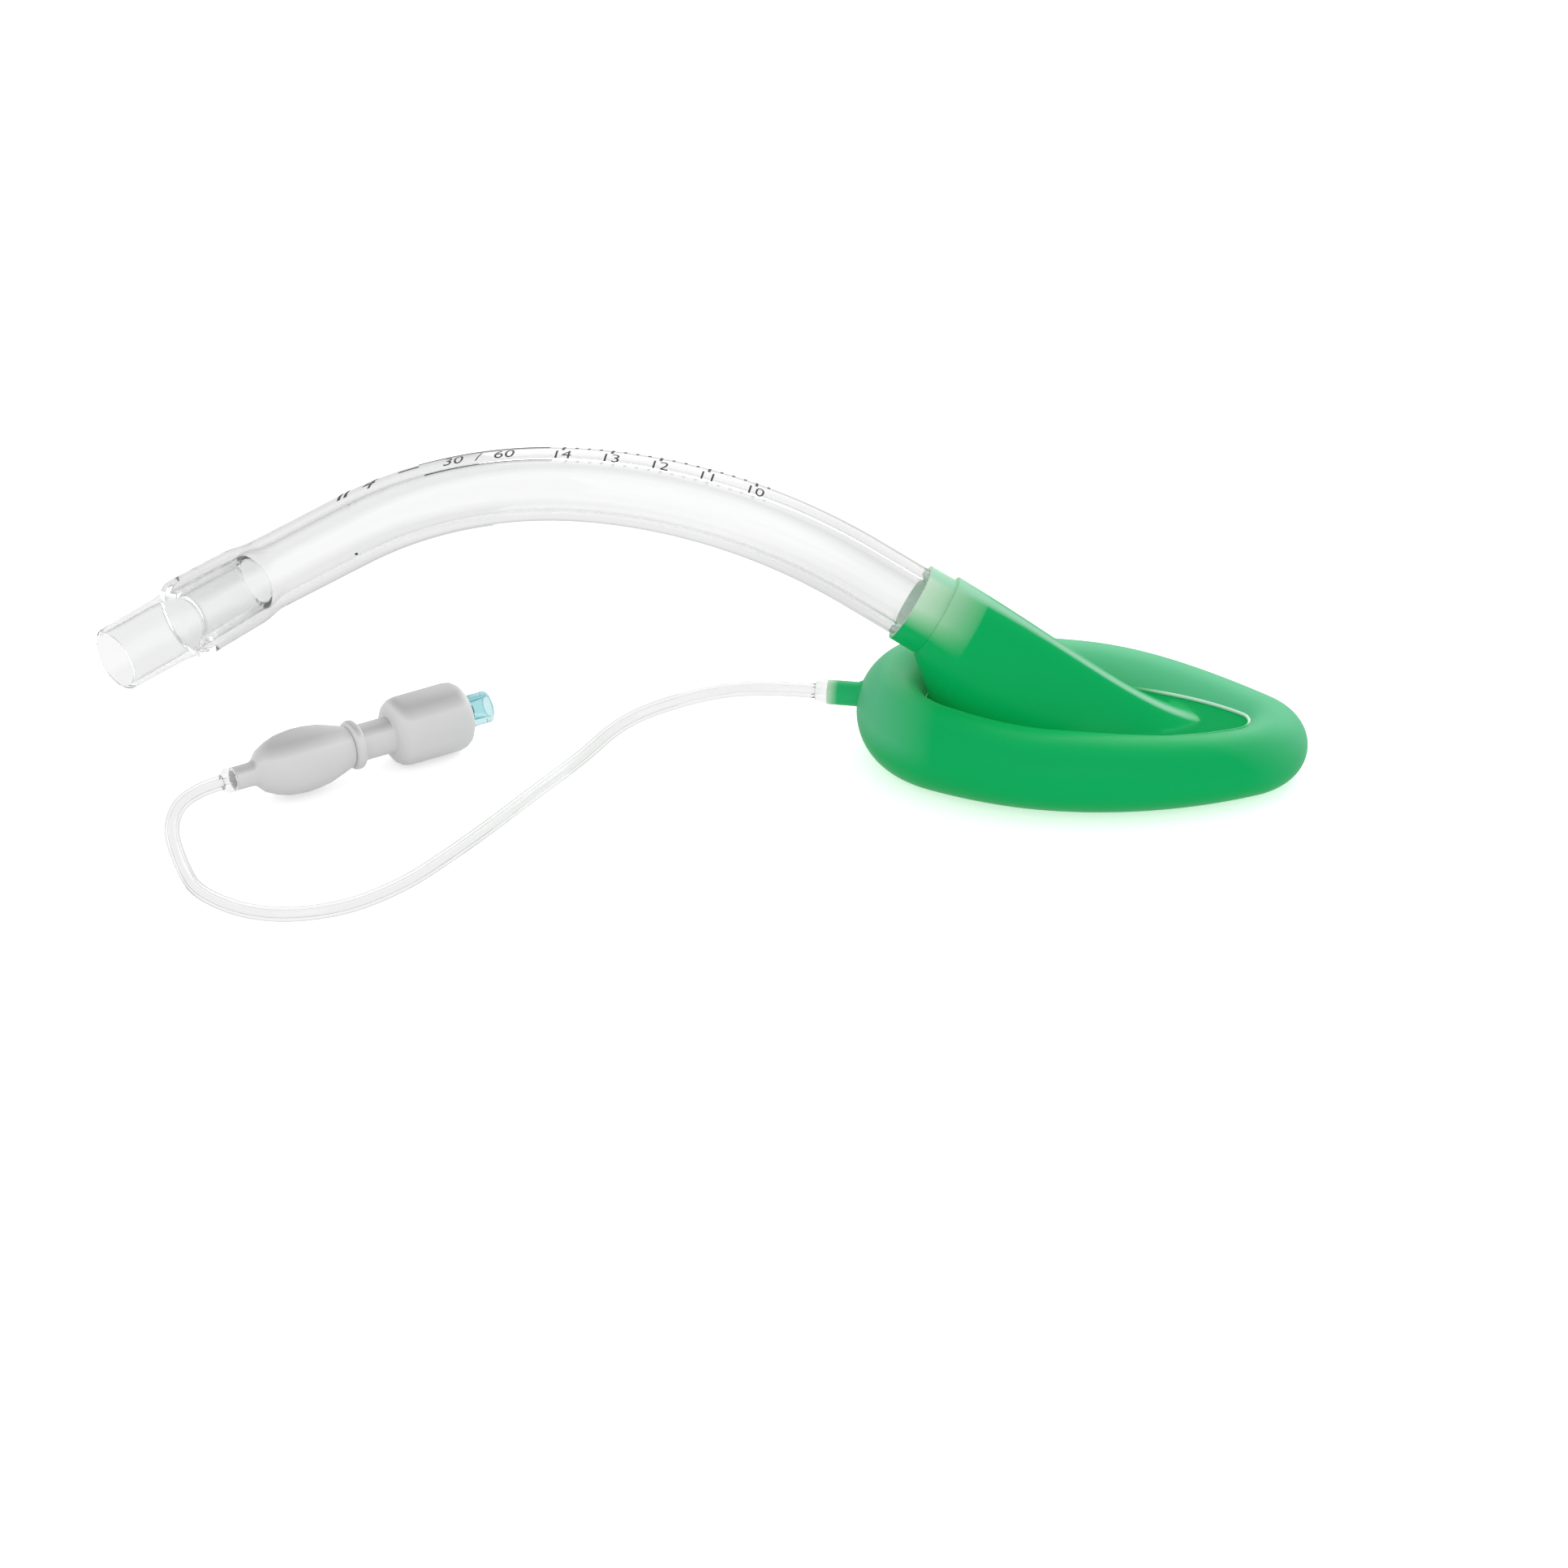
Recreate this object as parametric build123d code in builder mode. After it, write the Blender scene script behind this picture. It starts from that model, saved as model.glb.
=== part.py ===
from build123d import *
import os
from math import atan2, cos, degrees, pi, radians, sin, sqrt, tan

# Laryngeal mask airway, adult size 4, in millimetres, lying as it comes to rest: the cuff and
# the rim of the connector touch the surface z = 0 and the tube arches between them in the
# plane y = 0. +X points to the tip of the mask. The inflation line loops on the -Y side to
# the pilot balloon and its valve, which lie on the same surface.

# Cuff: a blown ring with an oval section, laid along an egg of three tangent arcs
cuff_length = 98.7
heel_bend = 17.4
side_bend = 80.5
tip_bend = 9.2
heel_width, heel_height = 15.4, 20.0
side_width, side_height = 18.8, 17.0
tip_width, tip_height = 15.7, 14.3
widest_share = 0.45
sections_per_arc = 5
past_middle = 6.0

# Inflation port: a short neck blown with the cuff, and the clear adapter that plugs into it
port_diameter = 5.4
port_height = 12.0
port_reach = 6.6
port_bore = 3.8
port_bore_depth = 5.0

# Airway tube: extruded clear tube, stretched over the connector's barrel at its outer end
tube_diameter = 16.2
tube_wall = 2.6
flare_wall = 2.5
flare_shoulder = 3.0
tube_in_mask = 26.5
mask_slope = 30.0
upper_bend = 120.7
lower_bend = 96.9
tube_slope = 32.5
connector_slope = 34.5
neck_bend = 60.0
tube_end_inset = 0.4

# Connector: the 15 mm male cone of breathing circuits, taper 1 in 40, with a push-in barrel
cone_tip_diameter = 15.07
cone_taper = 1 / 40
cone_length = 16.0
cone_wall = 1.4
collar_diameter = 15.9
exposed_length = 20.3
barrel_root_diameter = 14.0
barrel_tip_diameter = 13.0
barrel_length = 20.0
barrel_bore = 10.0
bore_step = 1.6
rim_round = 0.4

# Mask body: socket for the tube, hollow back and bonding flange, moulded in one piece
socket_wall = 0.95
socket_depth = 13.9
back_start, back_overlap = 6.3, 0.8
back_step, back_side_step = 1.1, 0.2
back_wall = 2.0
fan_width, base_width = 21.4, 22.0
flange_thickness = 1.5
flange_top = 12.4
tube_exit = (-1.6, 29.0)
stop_wall = 1.6
bar_width, bar_thickness, bar_spacing = 1.5, 1.8, 4.6
rib_points = 16

# Inflation line: soft clear tubing, 3.2 mm outside
line_diameter = 3.2
line_exit_run = 13.0
line_entry_run = 8.5

# Pilot end: balloon, valve housing and luer inlet on one level axis
pilot_place = (-91.7, -50.0)
pilot_heading = 39.8
housing_diameter = 15.3
housing_length = 18.5
housing_round = 3.3
stem_diameter = 8.1
stem_length = 7.6
bead_diameter = 10.9
bead_length = 2.3
bead_round = 0.92
nose_diameter = 6.0
nose_length = 5.0
air_bore = 3.0
balloon_diameter = 14.2
balloon_length = 22.9
balloon_mouth = 9.0
neck_diameter = 5.2
neck_length = 4.7
adapter_diameter = 5.4
adapter_length = 1.6
adapter_cone = 1.1
spigot_length = 4.0

# Check valve inside the housing
luer_diameter = 7.1
luer_reach = 5.7
luer_depth = 6.6
luer_mouth = 4.3
luer_taper = 0.06
luer_taper_length = 7.5
seat_thickness = 2.5
seat_hole = 3.44
luer_cavity = 3.8
chamber_diameter = 6.4
chamber_length = 7.0
rod_diameter = 3.3
rod_show = 1.7
flute_diameter = 1.1
seal_thickness = 1.7
seal_diameter = 5.6
seal_gap = 0.02
head_diameter = 5.2
head_thickness = 1.2
guide_diameter = 2.4
guide_length = 2.0
spring_wire = 0.4
spring_diameter = 4.6
spring_turns = 3.5


# Outer end of the cone to the sloping mask: the airway's centreline, from the mask outwards
cone_root_diameter = cone_tip_diameter + cone_taper * cone_length
connector_length = exposed_length + barrel_length
tube_radius = tube_diameter / 2
tube_bore = tube_diameter - 2 * tube_wall
height_at_bends = (
    tube_exit[1]
    + tube_in_mask * sin(radians(mask_slope))
    + upper_bend * (1 - cos(radians(mask_slope)))
    - lower_bend * (1 - cos(radians(tube_slope)))
)
drop_after = (
    neck_bend * (cos(radians(tube_slope)) - cos(radians(connector_slope)))
    + connector_length * sin(radians(connector_slope))
    + cone_tip_diameter / 2 * cos(radians(connector_slope))
)
straight_length = (height_at_bends - drop_after) / sin(radians(tube_slope))

with BuildLine() as airway:
    outwards = (-cos(radians(mask_slope)), sin(radians(mask_slope)))
    inner_end = Vector(*tube_exit)
    in_mask = Line(inner_end, inner_end + Vector(*outwards) * tube_in_mask)
    crown = JernArc(in_mask @ 1, in_mask % 1, upper_bend, mask_slope)
    shoulder = JernArc(crown @ 1, crown % 1, lower_bend, tube_slope)
    run = Line(shoulder @ 1, (shoulder @ 1) + (shoulder % 1) * straight_length)
    neck = JernArc(run @ 1, run % 1, neck_bend, connector_slope - tube_slope)
    ahead = (neck @ 1) + (neck % 1) * connector_length
outer_end, outer_heading = ahead, neck % 1

# Egg of the cuff's centreline: its heel arc is centred at the mask's own zero
arcs_apart = cuff_length - heel_bend - tip_bend - heel_width / 2 - tip_width / 2
side_x = (arcs_apart**2 + (side_bend - heel_bend) ** 2 - (side_bend - tip_bend) ** 2) / (2 * arcs_apart)
side_y = -sqrt((side_bend - heel_bend) ** 2 - side_x**2)
heel_angle = degrees(atan2(-side_y, -side_x))
tip_angle = degrees(atan2(-side_y, arcs_apart - side_x))
half_width = side_bend + side_y + side_width / 2
cuff_heel = -heel_bend - heel_width / 2
cuff_tip = cuff_heel + cuff_length

# The part's origin is under the middle of its length, from the connector's rim to the tip
rim_x = outer_end.X + cone_tip_diameter / 2 * outer_heading.Y
to_middle = -(rim_x + cuff_tip) / 2


def at(x, z, y=0.0):
    """A place in the part's frame, from the mask's own x."""
    return Vector(x + to_middle, y, z)


def ring_size(heel, side, tip, share):
    """A size of the cuff's section at a share of the ring's length, heel to side to tip."""
    share = min(max(share, 0.0), 1.0)
    if share < widest_share:
        return heel + (side - heel) * (1 - cos(pi * share / widest_share)) / 2
    return side + (tip - side) * (1 - cos(pi * (share - widest_share) / (1 - widest_share))) / 2


def ring_stations():
    """Points of the centreline's half and their outward angles, past the middle at both ends."""
    heel_from, heel_to = 180 + past_middle, heel_angle
    for step in range(sections_per_arc):
        angle = heel_from + (heel_to - heel_from) * step / sections_per_arc
        yield heel_bend * cos(radians(angle)), heel_bend * sin(radians(angle)), angle
    for step in range(sections_per_arc):
        angle = heel_angle + (tip_angle - heel_angle) * step / sections_per_arc
        yield side_x + side_bend * cos(radians(angle)), side_y + side_bend * sin(radians(angle)), angle
    for step in range(sections_per_arc + 1):
        angle = tip_angle + (-past_middle - tip_angle) * step / sections_per_arc
        yield arcs_apart + tip_bend * cos(radians(angle)), tip_bend * sin(radians(angle)), angle


def cuff_section(x, y, outward):
    """Upright plane across the ring, with its width and height at that place."""
    share = (x + heel_bend) / (arcs_apart + heel_bend + tip_bend)
    width = ring_size(heel_width, side_width, tip_width, share)
    height = ring_size(heel_height, side_height, tip_height, share)
    across = Vector(cos(radians(outward)), sin(radians(outward)), 0)
    plane = Plane(origin=at(x, height / 2, y), x_dir=across, z_dir=across.cross(Vector(0, 0, 1)))
    return plane, width, height


# Cuff: half the ring is lofted through upright ovals and mirrored, then the port is joined on
with BuildPart() as ring:
    for x, y, outward in ring_stations():
        plane, width, height = cuff_section(x, y, outward)
        with BuildSketch(plane):
            Ellipse(width / 2, height / 2)
    loft()
    split(bisect_by=Plane.XZ, keep=Keep.BOTTOM)
    mirror(about=Plane.XZ)

port_plane = Plane(origin=at(cuff_heel - port_reach, port_height), z_dir=(1, 0, 0))
with BuildPart() as cuff:
    add(ring.part)
    with BuildSketch(port_plane):
        Circle(port_diameter / 2)
    extrude(amount=port_reach + heel_width / 2)
    with BuildSketch(port_plane):
        Circle(port_bore / 2)
    extrude(amount=port_bore_depth, mode=Mode.SUBTRACT)
cuff.part.label = "cuff"


# Adapters at the two ends of the line: a flange, a cone down to the line and a spigot
def line_adapter(plane, bore_diameter):
    """Adapter on a plane whose x axis points from the line into the port or neck."""
    with BuildPart() as adapter:
        with BuildSketch(plane):
            with BuildLine():
                Polyline(
                    (-adapter_length - adapter_cone, 0),
                    (-adapter_length - adapter_cone, line_diameter / 2 + 0.3),
                    (-adapter_length, adapter_diameter / 2),
                    (0, adapter_diameter / 2),
                    (0, bore_diameter / 2),
                    (spigot_length, bore_diameter / 2),
                    (spigot_length, 0),
                    close=True,
                )
            make_face()
        revolve(axis=Axis(plane.origin, plane.x_dir))
    return adapter.part


cuff_line_adapter = line_adapter(Plane(origin=port_plane.origin, x_dir=(1, 0, 0), z_dir=(0, -1, 0)), port_bore)
cuff_line_adapter.label = "cuff_line_adapter"

# Airway tube: swept wall along the centreline, and a flared end turned about the connector
airway_plane = Plane(origin=at(0, 0), x_dir=(1, 0, 0), z_dir=(0, -1, 0))
flare_plane = Plane(
    origin=at(outer_end.X, outer_end.Y),
    x_dir=(-outer_heading.X, 0, -outer_heading.Y),
    z_dir=(0, -1, 0),
)
tube_start = exposed_length - tube_end_inset
centreline = airway_plane * airway.line
with BuildPart() as airway_tube:
    with BuildSketch(Plane(origin=centreline @ 0, z_dir=centreline % 0)):
        Circle(tube_radius)
        Circle(tube_bore / 2, mode=Mode.SUBTRACT)
    sweep(path=centreline)
    with BuildSketch(flare_plane):
        with BuildLine():
            Polyline(
                (connector_length, tube_radius),
                (connector_length - flare_shoulder, barrel_tip_diameter / 2 + flare_wall),
                (tube_start, barrel_root_diameter / 2 + flare_wall),
                (tube_start, barrel_root_diameter / 2),
                (exposed_length, barrel_root_diameter / 2),
                (connector_length, barrel_tip_diameter / 2),
                close=True,
            )
        make_face()
    revolve(axis=Axis(flare_plane.origin, flare_plane.x_dir))
airway_tube.part.label = "airway_tube"

# Connector: turned profile, its rim rounded, its bore stepped down inside the barrel
with BuildPart() as airway_connector:
    with BuildSketch(flare_plane):
        with BuildLine():
            Polyline(
                (0, cone_tip_diameter / 2 - cone_wall),
                (0, cone_tip_diameter / 2),
                (cone_length, cone_root_diameter / 2),
                (cone_length + 0.8, collar_diameter / 2),
                (tube_start, collar_diameter / 2),
                (tube_start, barrel_root_diameter / 2),
                (exposed_length, barrel_root_diameter / 2),
                (connector_length, barrel_tip_diameter / 2),
                (connector_length, barrel_bore / 2),
                (exposed_length + bore_step, barrel_bore / 2),
                (exposed_length, cone_tip_diameter / 2 - cone_wall),
                close=True,
            )
        make_face()
    revolve(axis=Axis(flare_plane.origin, flare_plane.x_dir))
    rim = airway_connector.faces().sort_by(Axis(flare_plane.origin, flare_plane.x_dir))[0]
    fillet(rim.edges(), radius=rim_round)
airway_connector.part.label = "airway_connector"


# Mask body: egg-shaped ribs that fan from the socket's round to the level one above the bowl
def rib(under, crest, width, taper):
    """Plane of a rib from its under point to its crest point, and points of its outline."""
    low, high = Vector(under[0], 0, under[1]), Vector(crest[0], 0, crest[1])
    along = (high - low).normalized()
    middle = (low + high) / 2
    plane = Plane(origin=at(middle.X, middle.Z), x_dir=along, z_dir=along.cross(Vector(0, 1, 0)))
    turns = [2 * pi * step / rib_points for step in range(rib_points)]
    long_half, short_half = (high - low).length / 2, width / 2
    outline = [(long_half * cos(turn), short_half * sin(turn) * (1 - taper * cos(turn))) for turn in turns]
    return plane, outline


def back_form(ribs):
    """Solid lofted through ribs."""
    with BuildPart() as form:
        for sizes in ribs:
            plane, outline = rib(*sizes)
            with BuildSketch(plane):
                with BuildLine():
                    Spline(*outline, periodic=True)
                make_face()
        loft()
    return form.part


down_tube = Vector(cos(radians(mask_slope)), -sin(radians(mask_slope)))
across_tube = Vector(sin(radians(mask_slope)), cos(radians(mask_slope)))
socket_mouth = inner_end - down_tube * socket_depth
socket_radius = tube_radius + socket_wall
side_radius = socket_radius + back_side_step
back_centre = socket_mouth + down_tube * back_start


def across(centre, down, up):
    """Under and crest points across the tube, at distances down and up from its centre."""
    low, high = centre - across_tube * down, centre + across_tube * up
    return (low.X, low.Y), (high.X, high.Y)


hollow_start = tube_bore / 2 + stop_wall
back_base = flange_top - flange_thickness / 2
bowl_top = flange_top - flange_thickness
outer_back = back_form(
    [
        (*across(back_centre, side_radius, socket_radius + back_step), 2 * side_radius, 0.0),
        ((-11.3, 20.0), (8.6, 34.6), 20.4, 0.12),
        ((-10.0, 16.2), (25.0, 24.3), fan_width, 0.24),
        ((-9.4, 14.0), (38.0, 16.8), base_width, 0.27),
        ((-9.0, back_base), (58.0, back_base), 22.8, 0.27),
    ]
)
hollow = back_form(
    [
        (*across(inner_end, hollow_start, hollow_start), 2 * hollow_start, 0.0),
        ((-7.4, 15.6), (22.2, 22.4), fan_width - 2 * back_wall, 0.24),
        ((-7.0, bowl_top), (47.0, bowl_top), base_width - 2 * back_wall, 0.27),
    ]
)
socket_plane = Plane(
    origin=at(socket_mouth.X, socket_mouth.Y),
    x_dir=(across_tube.X, 0, across_tube.Y),
    z_dir=(down_tube.X, 0, down_tube.Y),
)
with BuildPart() as mask_body:
    add(outer_back)
    with BuildSketch(socket_plane):
        Circle(socket_radius)
    extrude(amount=back_start + back_overlap)
    with BuildSketch(Plane(origin=at(0, bowl_top))):
        with BuildLine():
            CenterArc((0, 0), heel_bend, heel_angle, 360 - 2 * heel_angle)
            CenterArc((side_x, -side_y), side_bend, -heel_angle, heel_angle - tip_angle)
            CenterArc((arcs_apart, 0), tip_bend, -tip_angle, 2 * tip_angle)
            CenterArc((side_x, side_y), side_bend, tip_angle, heel_angle - tip_angle)
        make_face()
    extrude(amount=flange_thickness)
    add(hollow, mode=Mode.SUBTRACT)
    with BuildSketch(socket_plane):
        Circle(tube_radius)
    extrude(amount=socket_depth, mode=Mode.SUBTRACT)
    with Locations(socket_plane.offset(socket_depth + bar_thickness / 2)):
        with GridLocations(0.1, bar_spacing, 1, 2):
            Box(tube_bore + 2 * stop_wall + 1.0, bar_width, bar_thickness)
    add(ring.part, mode=Mode.SUBTRACT)
mask_body.part.label = "mask_body"

# Pilot end: every piece is turned about one level axis, measured from the balloon's neck
pilot_height = housing_diameter / 2
pilot_dir = Vector(cos(radians(pilot_heading)), sin(radians(pilot_heading)), 0)
pilot_plane = Plane(
    origin=(*pilot_place, pilot_height),
    x_dir=pilot_dir,
    z_dir=pilot_dir.cross(Vector(0, 0, 1)),
)
pilot_axis = Axis(pilot_plane.origin, pilot_plane.x_dir)
bead_start = neck_length + balloon_length
stem_start = bead_start + bead_length
housing_start = stem_start + stem_length
housing_end = housing_start + housing_length
luer_start = housing_end - luer_depth
luer_end = housing_end + luer_reach
chamber_start = luer_start - chamber_length

pilot_adapter = line_adapter(pilot_plane, port_bore)
pilot_adapter.label = "balloon_line_adapter"

with BuildPart() as pilot_balloon:
    with BuildSketch(pilot_plane):
        with BuildLine():
            Line((0, 0), (0, neck_diameter / 2))
            Line((0, neck_diameter / 2), (neck_length, neck_diameter / 2))
            Spline(
                (neck_length, neck_diameter / 2),
                (neck_length + 0.1 * balloon_length, 0.34 * balloon_diameter),
                (neck_length + 0.27 * balloon_length, 0.46 * balloon_diameter),
                (neck_length + 0.5 * balloon_length, 0.5 * balloon_diameter),
                (neck_length + 0.77 * balloon_length, 0.44 * balloon_diameter),
                (bead_start, balloon_mouth / 2),
            )
            Line((bead_start, balloon_mouth / 2), (bead_start, 0))
            Line((bead_start, 0), (0, 0))
        make_face()
    revolve(axis=pilot_axis)
    with BuildSketch(Plane(origin=pilot_plane.origin, z_dir=pilot_dir)):
        Circle(port_bore / 2)
    extrude(amount=spigot_length, mode=Mode.SUBTRACT)
    with BuildSketch(Plane(origin=pilot_plane.origin + pilot_dir * bead_start, z_dir=pilot_dir)):
        Circle(nose_diameter / 2)
    extrude(amount=-nose_length, mode=Mode.SUBTRACT)
pilot_balloon.part.label = "pilot_balloon"

# Valve housing: nose, retaining bead and stem in one turned piece with the rounded body
with BuildPart() as valve_housing:
    with BuildSketch(pilot_plane):
        with BuildLine():
            Polyline(
                (bead_start - nose_length, air_bore / 2),
                (bead_start - nose_length, nose_diameter / 2),
                (bead_start, nose_diameter / 2),
                (bead_start, bead_diameter / 2),
                (stem_start, bead_diameter / 2),
                (stem_start, stem_diameter / 2),
                (housing_start, stem_diameter / 2),
                (housing_start, housing_diameter / 2),
                (housing_end, housing_diameter / 2),
                (housing_end, luer_diameter / 2),
                (luer_start, luer_diameter / 2),
                (luer_start, chamber_diameter / 2),
                (chamber_start, chamber_diameter / 2),
                (chamber_start, air_bore / 2),
                close=True,
            )
        make_face()
    revolve(axis=pilot_axis)
    round_edges = valve_housing.edges().filter_by(GeomType.CIRCLE)
    body_edges = round_edges.filter_by(lambda edge: abs(edge.radius - housing_diameter / 2) < 0.01)
    fillet(body_edges, radius=min(housing_round, 0.92 * (housing_diameter - stem_diameter) / 2))
    bead_edges = valve_housing.edges().filter_by(GeomType.CIRCLE)
    bead_edges = bead_edges.filter_by(lambda edge: abs(edge.radius - bead_diameter / 2) < 0.01)
    fillet(bead_edges, radius=min(bead_round, 0.42 * bead_length, 0.75 * (bead_diameter - stem_diameter) / 2))
valve_housing.part.label = "valve_housing"

# Luer inlet: a clear socket with a 6 % taper, its inner end the valve's seat
taper_end = luer_end - luer_taper_length
with BuildPart() as valve_luer:
    with BuildSketch(pilot_plane):
        with BuildLine():
            Polyline(
                (luer_start, seat_hole / 2),
                (luer_start, luer_diameter / 2),
                (luer_end, luer_diameter / 2),
                (luer_end, luer_mouth / 2),
                (taper_end, (luer_mouth - luer_taper * luer_taper_length) / 2),
                (taper_end, luer_cavity / 2),
                (luer_start + seat_thickness, luer_cavity / 2),
                (luer_start + seat_thickness, seat_hole / 2),
                close=True,
            )
        make_face()
    revolve(axis=pilot_axis)
valve_luer.part.label = "valve_luer"

# Plunger: fluted rod, head behind the seal, and a tail that guides the spring
seal_end = luer_start - seal_gap
head_end = seal_end - seal_thickness
head_start = head_end - head_thickness
rod_end = housing_end + rod_show
with BuildPart() as valve_plunger:
    with BuildSketch(pilot_plane):
        with BuildLine():
            Polyline(
                (head_start - guide_length, 0),
                (head_start - guide_length, guide_diameter / 2),
                (head_start, guide_diameter / 2),
                (head_start, head_diameter / 2),
                (head_end, head_diameter / 2),
                (head_end, rod_diameter / 2),
                (rod_end, rod_diameter / 2),
                (rod_end, 0),
                close=True,
            )
        make_face()
    revolve(axis=pilot_axis)
    with BuildSketch(Plane(origin=pilot_plane.origin + pilot_dir * rod_end, z_dir=pilot_dir)):
        with PolarLocations(rod_diameter / 2 + flute_diameter / 4, 4):
            Circle(flute_diameter / 2)
    extrude(amount=seal_end - rod_end, mode=Mode.SUBTRACT)
valve_plunger.part.label = "valve_plunger"

with BuildPart() as valve_seal:
    with BuildSketch(Plane(origin=pilot_plane.origin + pilot_dir * head_end, z_dir=pilot_dir)):
        Circle(seal_diameter / 2)
        Circle(rod_diameter / 2, mode=Mode.SUBTRACT)
    extrude(amount=seal_thickness)
valve_seal.part.label = "valve_seal"

# Spring: round wire wound between the chamber's floor and the plunger's head
spring_rise = head_start - chamber_start - spring_wire
with BuildPart() as valve_spring:
    with BuildLine() as coil:
        Helix(
            pitch=spring_rise / spring_turns,
            height=spring_rise,
            radius=(spring_diameter - spring_wire) / 2,
            center=pilot_plane.origin + pilot_dir * (chamber_start + spring_wire / 2),
            direction=pilot_dir,
        )
    with BuildSketch(Plane(origin=coil.line @ 0, z_dir=coil.line % 0)):
        Circle(spring_wire / 2)
    sweep()
valve_spring.part.label = "valve_spring"

# Inflation line: chosen points from the cuff's adapter to the balloon's, rounded at each
line_start = port_plane.origin - Vector(adapter_length + adapter_cone, 0, 0)
line_end = pilot_plane.origin - pilot_dir * (adapter_length + adapter_cone)
line_level = line_diameter / 2
route = [
    tuple(line_start),
    tuple(line_start - Vector(line_exit_run, 0, 0)),
    (0.0, -0.8, 8.9),
    (-14.5, -6.1, 4.6),
    (-21.7, -19.5, line_level),
    (-28.5, -34.4, line_level),
    (-34.8, -49.2, line_level),
    (-41.5, -63.6, line_level),
    (-49.1, -78.0, line_level),
    (-60.2, -89.6, line_level),
    (-75.6, -94.0, line_level),
    (-90.1, -87.7, line_level),
    (-96.5, -77.3, line_level),
    (-102.1, -66.3, 4.6),
    tuple(line_end - pilot_dir * line_entry_run),
    tuple(line_end),
]


def bend_radii(points):
    """Largest tangent arc at each inner point: 0.45 of the shorter run beside it."""
    places = [Vector(*point) for point in points]
    for before, here, after in zip(places, places[1:], places[2:]):
        turn = radians((here - before).get_angle(after - here))
        yield 0.45 * min((here - before).length, (after - here).length) / tan(turn / 2)


radii = list(bend_radii(route))
with BuildPart() as inflation_line:
    with BuildLine() as line_path:
        FilletPolyline(*route, radius=radii)
    with BuildSketch(Plane(origin=line_path.line @ 0, z_dir=line_path.line % 0)):
        Circle(line_diameter / 2)
    sweep()
inflation_line.part.label = "inflation_line"

line_length = sum(edge.length for edge in line_path.edges())
expected = line_length * pi * line_diameter**2 / 4
print("line bend radii", [round(radius, 1) for radius in radii])
print("line length %.1f, volume %.1f, expected %.1f" % (line_length, inflation_line.part.volume, expected))
print("tube straight %.1f, overall width of cuff %.1f" % (straight_length, 2 * half_width))
print("middle shift %.2f, rim x %.2f, cuff tip x %.2f" % (to_middle, rim_x, cuff_tip))

os.makedirs("parts", exist_ok=True)
export_step(airway_connector.part, "parts/airway_connector.step")
export_step(airway_tube.part, "parts/airway_tube.step")
export_step(mask_body.part, "parts/mask_body.step")
export_step(cuff.part, "parts/cuff.step")
export_step(cuff_line_adapter, "parts/cuff_line_adapter.step")
export_step(inflation_line.part, "parts/inflation_line.step")
export_step(pilot_adapter, "parts/balloon_line_adapter.step")
export_step(pilot_balloon.part, "parts/pilot_balloon.step")
export_step(valve_housing.part, "parts/valve_housing.step")
export_step(valve_luer.part, "parts/valve_luer.step")
export_step(valve_plunger.part, "parts/valve_plunger.step")
export_step(valve_seal.part, "parts/valve_seal.step")
export_step(valve_spring.part, "parts/valve_spring.step")
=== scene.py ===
import math

import bmesh
import bpy
from mathutils import Matrix, Vector


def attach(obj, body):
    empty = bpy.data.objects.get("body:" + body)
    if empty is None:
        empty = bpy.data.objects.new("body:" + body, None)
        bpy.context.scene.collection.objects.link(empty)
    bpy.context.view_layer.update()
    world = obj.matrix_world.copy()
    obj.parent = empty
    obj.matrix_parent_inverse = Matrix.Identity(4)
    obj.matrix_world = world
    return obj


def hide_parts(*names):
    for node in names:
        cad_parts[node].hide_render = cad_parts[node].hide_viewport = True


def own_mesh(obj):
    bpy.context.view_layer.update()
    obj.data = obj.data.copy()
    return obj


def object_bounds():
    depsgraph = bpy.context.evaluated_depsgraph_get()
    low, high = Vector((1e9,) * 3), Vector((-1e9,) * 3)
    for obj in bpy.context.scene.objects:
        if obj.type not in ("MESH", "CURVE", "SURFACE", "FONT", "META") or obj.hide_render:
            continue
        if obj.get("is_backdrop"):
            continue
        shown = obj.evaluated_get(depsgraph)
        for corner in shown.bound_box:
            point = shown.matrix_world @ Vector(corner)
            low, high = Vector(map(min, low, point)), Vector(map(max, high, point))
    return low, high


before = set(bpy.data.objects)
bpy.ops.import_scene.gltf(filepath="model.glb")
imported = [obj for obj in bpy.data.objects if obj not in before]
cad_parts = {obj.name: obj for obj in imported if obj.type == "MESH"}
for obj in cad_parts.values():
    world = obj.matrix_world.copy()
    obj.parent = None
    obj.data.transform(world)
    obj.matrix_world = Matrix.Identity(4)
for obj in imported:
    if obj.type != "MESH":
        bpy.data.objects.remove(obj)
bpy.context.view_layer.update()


# Connector: the 15 mm cone that a breathing circuit pushes onto, injection moulded in clear
# plastic. Its collar stops the tube, and its stepped barrel is pushed and bonded into it.
cone_tip_radius = 0.007535
cone_root_radius = 0.007735
cone_length = 0.016
cone_wall = 0.0014
collar_radius = 0.00795
tube_starts = 0.0199
exposed_length = 0.0203
barrel_root_radius = 0.0070
barrel_tip_radius = 0.0065
barrel_length = 0.020
barrel_bore = 0.0050
bore_step = 0.0016
rim_round, collar_round, bore_round = 0.00045, 0.0004, 0.0005
connector_length = exposed_length + barrel_length
connector_slope = math.radians(34.5)
connector_mouth = Vector((-0.1308723, 0, 0.0062098))
into_connector = Vector((math.cos(connector_slope), 0, math.sin(connector_slope)))
to_tip, to_far_side, upwards = Vector((1, 0, 0)), Vector((0, 1, 0)), Vector((0, 0, 1))


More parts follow.
